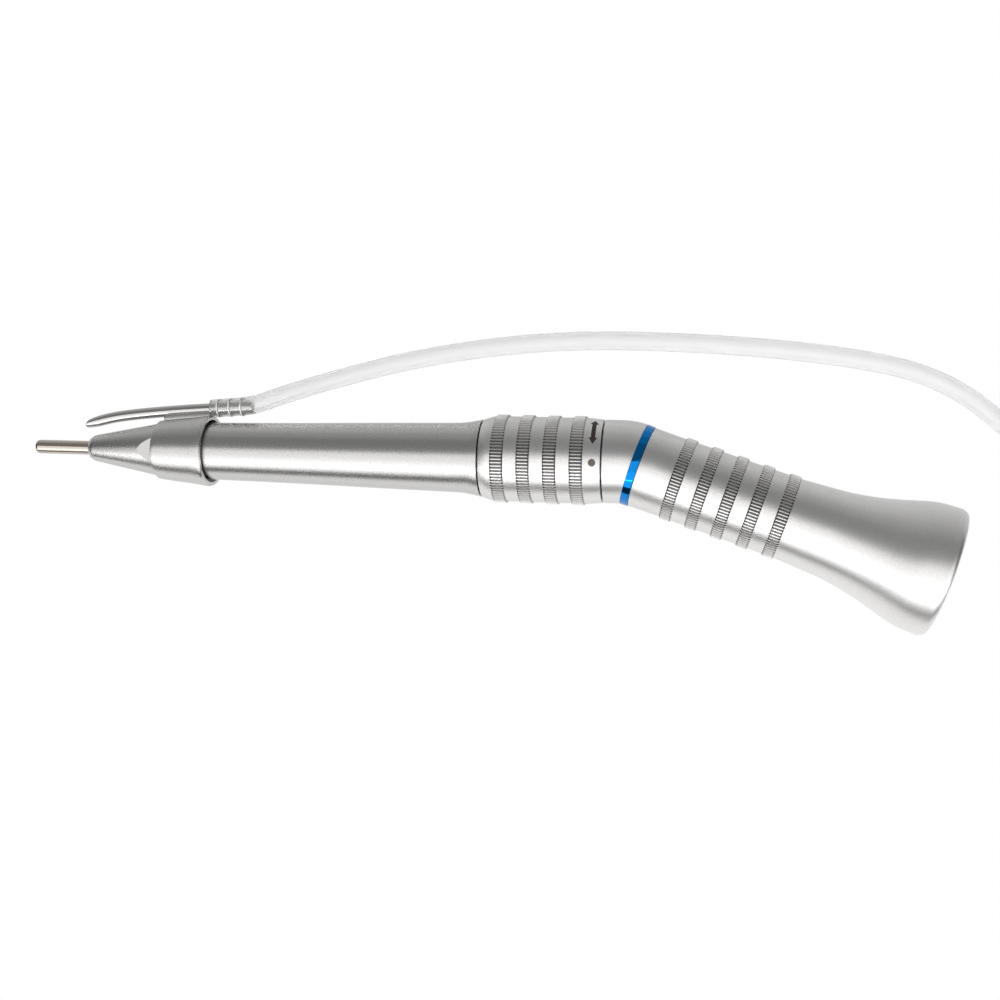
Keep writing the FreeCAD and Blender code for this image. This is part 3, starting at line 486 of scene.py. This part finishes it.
def table():
    """A white table, evenly lit from within as seen directly; to other rays its glow runs from bright on the near
    side to dim on the far side, painted light and shade.
    """
    bm = bmesh.new()
    bmesh.ops.create_grid(bm, x_segments=1, y_segments=1, size=TABLE_HALF / MM)
    item = finish_mesh("table", bm, Matrix.Translation((0, 0, -0.0001)), normals=False)
    material, tree = new_material("white_table_with_painted_shade")
    seen = add(tree, "ShaderNodeLightPath")
    direct = add(tree, "ShaderNodeMath", {"operation": "MAXIMUM"},
                 i0=seen.outputs["Is Camera Ray"], i1=seen.outputs["Is Transmission Ray"])
    glow = add(tree, "ShaderNodeEmission", {"Color": linear("#FFFFFF"), "Strength": 1.0})
    spot = add(tree, "ShaderNodeTexCoord")
    across = add(tree, "ShaderNodeSeparateXYZ", None, Vector=spot.outputs["Object"])
    # glow strength across the table: painted light on the near side, painted shade on the far side
    share = add(tree, "ShaderNodeMapRange", {
        "From Min": TABLE_NEAR_Y, "From Max": TABLE_FAR_Y,
        "To Min": TABLE_NEAR, "To Max": TABLE_FAR},
        Value=across.outputs["Y"])
    painted_light_and_shade_glow = add(tree, "ShaderNodeEmission", {"Color": linear("#FFFFFF")}, Strength=share.outputs[0])
    both = add(tree, "ShaderNodeMixShader", None, i0=direct.outputs[0], i1=painted_light_and_shade_glow.outputs[0],
               i2=glow.outputs[0])
    close(tree, both)
    item.data.materials.append(material)


# ------------------------------------------------------------------ hose
def coil_points():
    """Neat turns in layers, worked from the outside in and back out again."""
    points = []
    per_layer = COIL_TURNS_PER_LAYER
    for step in range(1, COIL_TURNS * POINTS_PER_TURN):
        turns = step / POINTS_PER_TURN
        layer = int(turns // per_layer)
        share = turns - layer * per_layer
        climb = min(1.0, share / COIL_CLIMB) if layer else 1.0
        inwards = share * COIL_COLUMN * (per_layer - 1) / per_layer
        far = COIL_OUTER - (per_layer - 1) * COIL_COLUMN
        radius = COIL_OUTER - inwards if layer % 2 == 0 else far + inwards
        height = COIL_LOW + COIL_LAYER * (layer - 1 + climb)
        angle = -TURN / 4 + turns * TURN
        points.append((radius * math.cos(angle), radius * math.sin(angle), height))
    return points


def hose_points():
    """The hose's whole centreline, in metres: cuff over the barb, run, coil and tail."""
    cuff = barb_place() @ Vector((BARB_START * MM, 0, 0))
    run = [FLOOR_POINT + Vector(spot) * MM for spot in HOSE_ROUTE]
    coil = [COIL_POINT + Vector(spot) * MM for spot in coil_points() + TAIL_ROUTE]
    return [cuff, cuff.lerp(run[0], 0.5)] + run + coil


def barb_place():
    """Along the tube's last run, with zero level with the nose tip."""
    (x0, y0), (x1, y1) = TUBE_ROUTE[-2:]
    slope = math.atan2(y1 - y0, x1 - x0)
    move = Matrix.Translation(Vector((x1, y1, 0)) * MM) @ Matrix.Rotation(slope, 4, "Z")
    return FRONT @ move @ Matrix.Translation((-x1 * MM, 0, 0))


def hose():
    points = hose_points()
    outer = curve_mesh("hose_outside", points, HOSE_R * MM, 16, 6)
    lumen = curve_mesh("hose_lumen", points, LUMEN_R * MM, 16, 6)
    line = curve_mesh("hose_line", points, 0, 8, 6)
    bm = bmesh.new()
    bm.from_mesh(lumen)
    bmesh.ops.reverse_faces(bm, faces=bm.faces)
    bm.from_mesh(outer)
    bmesh.ops.scale(bm, vec=(1 / MM, 1 / MM, 1 / MM), verts=bm.verts)
    piece = finish_mesh("hose", bm, Matrix.Identity(4), 60, normals=False)
    dress(piece, SILICONE_WITH_PAINTED_GLOW, "irrigation", "silicone_hose", "hose_cuff", "hose_run", "hose_coil",
          "hose_tail")
    piece.data.materials.append(CUFF)
    along_barb = barb_place().inverted()
    cuff_end = (BARB_END + 0.4) * MM
    for face in piece.data.polygons:
        spot = along_barb @ face.center
        if spot.x < cuff_end and spot.yz.length < 2 * HOSE_R * MM:
            face.material_index = 1
    hose_connector()
    hose_tie()
    hose_barb()
    painted_highlight_rings()


def hose_barb():
    """The stepped barb under the hose's end."""
    outline = [(BARB_START, TUBE_R - 0.2, 0), (BARB_START, BARB_R, 0)]
    for index in range(BARB_STEPS):
        start = BARB_FIRST + index * BARB_PITCH
        outline += [(start, BARB_R, 0), (start + 0.05, BARB_STEP_R, 0.05),
                    (start + 0.45, BARB_STEP_R, 0.05), (start + 0.9, BARB_R, 0)]
    outline += [(BARB_END, BARB_R, 0.1), (BARB_END, BARB_BORE_R, 0.05),
                (BARB_END - 2, BARB_BORE_R, 0)]
    piece = turned("barb", outline, barb_place(), SMALL_SEGMENTS)
    return dress(piece, POLISHED, "irrigation", "polished_steel", "hose_barb")


def painted_highlight_rings():
    """Thin raised rings on the hose over the barb's steps, white as a painted highlight."""
    bm = bmesh.new()
    for index in range(BARB_STEPS):
        start = HIGHLIGHT_RING_FIRST + index * BARB_PITCH
        turn_outline(bm, [(start, 1.42, 0.02), (start, 1.53, 0.04), (start + 0.22, 1.53, 0.04),
                          (start + 0.22, 1.42, 0.02)], SMALL_SEGMENTS)
    piece = finish_mesh("hose_painted_highlight_rings", bm, barb_place())
    return dress(piece, PAINTED_HIGHLIGHT_WHITE, "irrigation", "silicone_hose")


def hose_tie():
    """A flat rubber band closed round the coil's section."""
    low, high, inner, outer = 0.4, 12.6, 11.9, 24.1
    corner, half_width = 2.2, 2
    bm = bmesh.new()
    outline = [(inner, low, corner), (outer, low, corner), (outer, high, corner),
               (inner, high, corner)]
    verts = [bm.verts.new((spot.x, -half_width, spot.y)) for spot in rounded(outline)]
    count = len(verts)
    edges = [bm.edges.new((verts[index], verts[(index + 1) % count])) for index in range(count)]
    made = bmesh.ops.extrude_edge_only(bm, edges=edges)["geom"]
    moved = [item for item in made if isinstance(item, bmesh.types.BMVert)]
    bmesh.ops.translate(bm, vec=(0, 2 * half_width, 0), verts=moved)
    bmesh.ops.recalc_face_normals(bm, faces=bm.faces)
    where = Matrix.Translation(COIL_POINT) @ Matrix.Rotation(math.radians(100), 4, "Z")
    piece = finish_mesh("hose_tie_band", bm, where)
    wall = piece.modifiers.new("wall", "SOLIDIFY")
    wall.thickness = 0.4 * MM
    wall.offset = 1
    edge = piece.modifiers.new("edge", "BEVEL")
    edge.width = 0.1 * MM
    edge.segments = 2
    return dress(piece, TIE, "irrigation", "tie_rubber", "hose_tie")


def hose_connector():
    """A luer socket with a gripping collar of fine ribs."""
    bm = bmesh.new()
    turn_outline(bm, [(0, 1.52, 0.1), (0, 2.3, 0.3), (7.6, 2.75, 0.2), (8, 3.2, 0.2),
                      (19, 2.9, 0.2), (19.2, 3.2, 0.1), (20, 3.2, 0.2), (20, 2.1, 0.1),
                      (13, 2.1, 0), (13, 1.52, 0)], 64)
    ribs = 12
    for index in range(ribs):
        rib = bmesh.ops.create_cube(bm, size=1)["verts"]
        bmesh.ops.scale(bm, vec=(6, 0.5, 0.5), verts=rib)
        bmesh.ops.translate(bm, vec=(12.5, 0, 3.0), verts=rib)
        bmesh.ops.rotate(bm, cent=(0, 0, 0), verts=rib,
                         matrix=Matrix.Rotation(TURN * (index + 0.5) / ribs, 3, "X"))
    end = COIL_POINT + Vector(TAIL_ROUTE[-1]) * MM
    where = Matrix.Translation(end) @ Matrix.Rotation(TURN / 4, 4, "Z")
    piece = finish_mesh("luer_connector", bm, where)
    return dress(piece, CLEAR_PLASTIC, "irrigation", "connector_plastic", "hose_connector")


# ------------------------------------------------------------------ front of the handpiece
def tool_shank():
    outline = [(-10, 0.02, 0), (-10, 1.0, 0.12), (-9.6, 1.175, 0.15), (-0.05, 1.175, 0),
               (-0.05, 0.95, 0), (0.6, 0.95, 0), (0.6, 1.175, 0), (23.8, 1.175, 0.1),
               (24, 0.9, 0), (24, 0.02, 0)]
    piece = turned("bur_shank", outline, FRONT, 64)
    dress(piece, SHANK, "tool", "tool_steel", "tool_shank")


def nose_cone():
    """The cone is spun, then each wrench flat is sliced off and closed."""
    bm = bmesh.new()
    turn_outline(bm, [(0, 1.35, 0.1), (0, 1.75, 0.15), (0.75, 2.2, 0.25), (13.2, 4.6, 0.4),
                      (13.5, 4.6, 0.05), (13.5, 3.6, 0), (9, 3.0, 0), (9, 1.35, 0)], FINE_SEGMENTS)
    for side in (1, -1):
        facing = Vector((0, math.sin(FLAT_LEAN) * side, math.cos(FLAT_LEAN) * side))
        cut = bmesh.ops.bisect_plane(bm, geom=bm.verts[:] + bm.edges[:] + bm.faces[:], dist=1e-5,
                                     plane_co=facing * FLAT_OUT, plane_no=facing,
                                     clear_outer=True)
        edges = [item for item in cut["geom_cut"] if isinstance(item, bmesh.types.BMEdge)]
        for face in bmesh.ops.holes_fill(bm, edges=edges, sides=0)["faces"]:
            face.material_index = 1
    piece = finish_mesh("nose", bm, FRONT, 25)
    for face in piece.data.polygons:
        face.use_smooth = face.material_index == 0
    dress(piece, BLASTED, "handpiece", "blasted_metal", "nose_cone")
    piece.data.materials.append(MILLED)


def front_barrel():
    outline = [(13.5, 4.0, 0), (13.5, 4.6, 0.05), (17, 4.65, 2), (24.4, 4.79, 4), (37, 4.99, 6),
               (50.5, 5.34, 6), (64.6, 5.63, 2), (67.6, 6.22, SEAM_EDGE), (67.6, 5.0, 0),
               (61.5, 4.95, 0), (61.5, 4.0, 0)]
    piece = turned("barrel_shell", outline, FRONT, FINE_SEGMENTS)
    dress(piece, BLASTED, "handpiece", "blasted_metal", "front_barrel")


def twist_ring():
    bm = bmesh.new()
    turn_outline(bm, [(67.85, 5.9, 0), (67.85, 6.27, SEAM_EDGE), (69.1, 6.68, 0.6),
                      (69.7, 6.8, 0.3)] + recesses(RING_BANDS)
                 + [(LAND_S, LAND_R, 0.3), (87.1, 6.6, SEAM_EDGE), (87.1, 5.9, 0)],
                 FINE_SEGMENTS)
    knurled_bands(bm, RING_BANDS)
    piece = finish_mesh("lock_ring", bm, FRONT, 30)
    dress(piece, GRIP, "lock_ring", "grip_metal", "twist_ring")
    piece.data.materials.append(GROOVE_PAINTED_SHADE)
    arrow_mark()
    dot_mark()


def ring_surface(along, angle):
    """A point just proud of the ring's smooth rear land."""
    radius = LAND_R - (along - LAND_S) * LAND_SLOPE + MARK_LIFT
    return Vector((along, radius * math.cos(angle), radius * math.sin(angle)))


def wrapped_mark(name, outline, ink_material):
    """A thin mark from an outline of (along, degrees round from +Y), laid on the ring."""
    bm = bmesh.new()
    verts = [bm.verts.new((along, math.radians(angle), 0)) for along, angle in outline]
    bm.faces.new(verts)
    bmesh.ops.triangulate(bm, faces=bm.faces)
    bmesh.ops.subdivide_edges(bm, edges=bm.edges, cuts=5, use_grid_fill=True)
    for vert in bm.verts:
        vert.co = ring_surface(vert.co.x, vert.co.y)
    bmesh.ops.recalc_face_normals(bm, faces=bm.faces)
    piece = finish_mesh(name, bm, FRONT, 60, normals=False)
    ink = piece.modifiers.new("ink", "SOLIDIFY")
    ink.thickness = MARK_THICKNESS * MM
    ink.offset = 0
    dress(piece, ink_material, "lock_ring", "grip_metal")


def arrow_mark():
    """Double-headed arrow round the ring, for the way it turns."""
    mid, half_shaft, half_head = MARK_S, 0.34, 0.66
    low, high, head = 26, 72, 10
    wrapped_mark("turn_arrow", [
        (mid, low), (mid + half_head, low + head), (mid + half_shaft, low + head),
        (mid + half_shaft, high - head), (mid + half_head, high - head), (mid, high),
        (mid - half_head, high - head), (mid - half_shaft, high - head),
        (mid - half_shaft, low + head), (mid - half_head, low + head)], ENGRAVED)


def dot_mark():
    middle, radius, sides = 97, 0.58, 24
    around = math.degrees(radius / 6.7)
    wrapped_mark("index_dot", [(MARK_S + radius * math.cos(TURN * step / sides),
                                middle + around * math.sin(TURN * step / sides))
                               for step in range(sides)], DOT_INK)


# ------------------------------------------------------------------ elbow and rear grip
def elbow():
    """Rings of the outer and inner wall, drawn straight and then round the bend."""
    bend = ELBOW_REAR / math.tan(HALF_BEND)
    spots = [Matrix.Translation((ELBOW_S - PIVOT_S, 0, 0))]
    for step in range(BEND_STEPS + 1):
        turn = Matrix.Rotation(-2 * HALF_BEND * step / BEND_STEPS, 4, "Z")
        spots.append(Matrix.Translation((-ELBOW_REAR, -bend, 0)) @ turn
                     @ Matrix.Translation((0, bend, 0)))
    bm = bmesh.new()
    walls = []
    for radius, edge in ((ELBOW_R, SEAM_EDGE), (ELBOW_BORE_R, 0)):
        rings = []
        for spot in spots:
            lead = 0 if rings else edge
            circle = [Vector((lead, radius * math.cos(TURN * index / SEGMENTS),
                              radius * math.sin(TURN * index / SEGMENTS)))
                      for index in range(SEGMENTS)]
            rings.append([bm.verts.new(spot @ point) for point in circle])
        walls.append(rings)
    profile = walls[0] + walls[1][::-1]
    for ring, beside in zip(profile, profile[1:] + profile[:1]):
        for index in range(SEGMENTS):
            bm.faces.new((ring[index - 1], ring[index], beside[index], beside[index - 1]))
    piece = finish_mesh("bend_housing", bm, ELBOW, 40)
    dress(piece, GRIP, "handpiece", "grip_metal", "elbow_housing")
    ring = turned("blue_ring", [(1.08, 5.3, 0), (1.08, 6.64, 0.08), (2.33, 6.6, 0.08),
                                (2.33, 5.3, 0)], REAR)
    dress(ring, ANODISED, "handpiece", "blue_anodised", "colour_ring")


def rear_grip():
    bm = bmesh.new()
    front = [(2.38, 5.3, 0), (2.38, 6.5, 0.08), (5.0, 6.45, 1), (7.4, 6.43, 0)]
    bell = [(26.4, 6.47, 0.8), (29, 6.62, 3), (34, 6.96, 3), (37.5, 7.55, 3), (41, 8.42, 3),
            (43.8, 9.3, 2.5), (46, 9.9, 1.6), (48, 10.1, 1.2), (50.1, 10.12, 0.5),
            (50.8, 9.75, 0.3), (50.8, 8.3, 0.3), (50.3, 8.0, 0.3), (43.5, 8.0, 0.2),
            (43.5, 5.95, 0), (22, 5.95, 0), (22, 5.3, 0)]
    turn_outline(bm, front + recesses(GRIP_BANDS) + bell, FINE_SEGMENTS)
    knurled_bands(bm, GRIP_BANDS)
    piece = finish_mesh("grip_shell", bm, REAR, 30)
    dress(piece, GRIP, "handpiece", "grip_metal", "rear_grip")
    piece.data.materials.append(GROOVE_PAINTED_SHADE)


# ------------------------------------------------------------------ irrigation clip and tube
def irrigation_clip():
    """A tapered ring with a slit away from the tube, and a soldered saddle under it."""
    outline = rounded([(12.6, 4.68, 0.05), (12.6, 4.9, 0.1), (14, 5.08, 1), (18.6, 5.56, 1),
                       (21.2, 5.93, 0.25), (21.6, 5.75, 0.1), (21.6, 5.2, 0.1), (17, 4.74, 0.5)])
    slit = math.radians(13)
    opposite = math.radians(225)
    bm = bmesh.new()
    verts = [bm.verts.new((spot.x, spot.y, 0)) for spot in outline]
    face = bm.faces.new(verts)
    bmesh.ops.rotate(bm, cent=(0, 0, 0), verts=verts,
                     matrix=Matrix.Rotation(opposite + slit / 2, 3, "X"))
    bmesh.ops.spin(bm, geom=[face], cent=(0, 0, 0), axis=(1, 0, 0), angle=TURN - slit, steps=184,
                   use_merge=False, use_duplicate=False)
    saddle = bmesh.ops.create_cube(bm, size=1)["verts"]
    bmesh.ops.scale(bm, vec=(8.3, 1.35, 1.8), verts=saddle)
    edges = list({edge for vert in saddle for edge in vert.link_edges})
    bmesh.ops.bevel(bm, geom=edges, offset=0.3, affect="EDGES", segments=4, profile=0.5,
                    material=-1)
    saddle = [vert for vert in bm.verts if vert.co.x < 5]
    bmesh.ops.rotate(bm, cent=(0, 0, 0), verts=saddle, matrix=Matrix.Rotation(0.09, 3, "Z"))
    bmesh.ops.translate(bm, vec=(17.1, 5.55, 0), verts=saddle)
    piece = finish_mesh("clip", bm, FRONT, 32)
    dress(piece, BLASTED, "irrigation", "blasted_metal", "irrigation_clip")


def irrigation_tube():
    """The bent tube, its tip cut on a slant and pinched."""
    points = [FRONT @ (Vector((along, out, 0)) * MM) for along, out in TUBE_ROUTE[:-1]]
    points.append(FRONT @ (Vector((BARB_START + 1, TUBE_END_OUT, 0)) * MM))
    mesh = curve_mesh("tube_outside", points, TUBE_R * MM, 24, 16)
    bm = bmesh.new()
    bm.from_mesh(mesh)
    bmesh.ops.transform(bm, matrix=Matrix.Scale(1 / MM, 4) @ FRONT.inverted(), verts=bm.verts)
    ends = [face for face in bm.faces if len(face.verts) > 4]
    bmesh.ops.delete(bm, geom=ends, context="FACES_ONLY")
    tip = TUBE_ROUTE[0][0]
    for vert in bm.verts:
        near = max(0.0, 1 - (vert.co.x - tip) / PINCH_LENGTH)
        middle = 4.05 + (vert.co.x - tip) * 0.3
        vert.co.y = middle + (vert.co.y - middle) * (1 - PINCH_DEPTH * near ** 2)
    bmesh.ops.bisect_plane(bm, geom=bm.verts[:] + bm.edges[:] + bm.faces[:], dist=1e-5,
                           plane_co=(tip + 0.25, 4, 0), plane_no=(-0.93, 0.3, 0),
                           clear_outer=True)
    piece = finish_mesh("nozzle_tube", bm, FRONT, 60)
    wall = piece.modifiers.new("wall", "SOLIDIFY")
    wall.thickness = TUBE_WALL * MM
    wall.offset = -1
    dress(piece, POLISHED, "irrigation", "polished_steel", "irrigation_tube")


camera()
dress_cad_nodes()
hose()
lighting()
table()
tool_shank()
nose_cone()
front_barrel()
twist_ring()
elbow()
rear_grip()
irrigation_clip()
irrigation_tube()
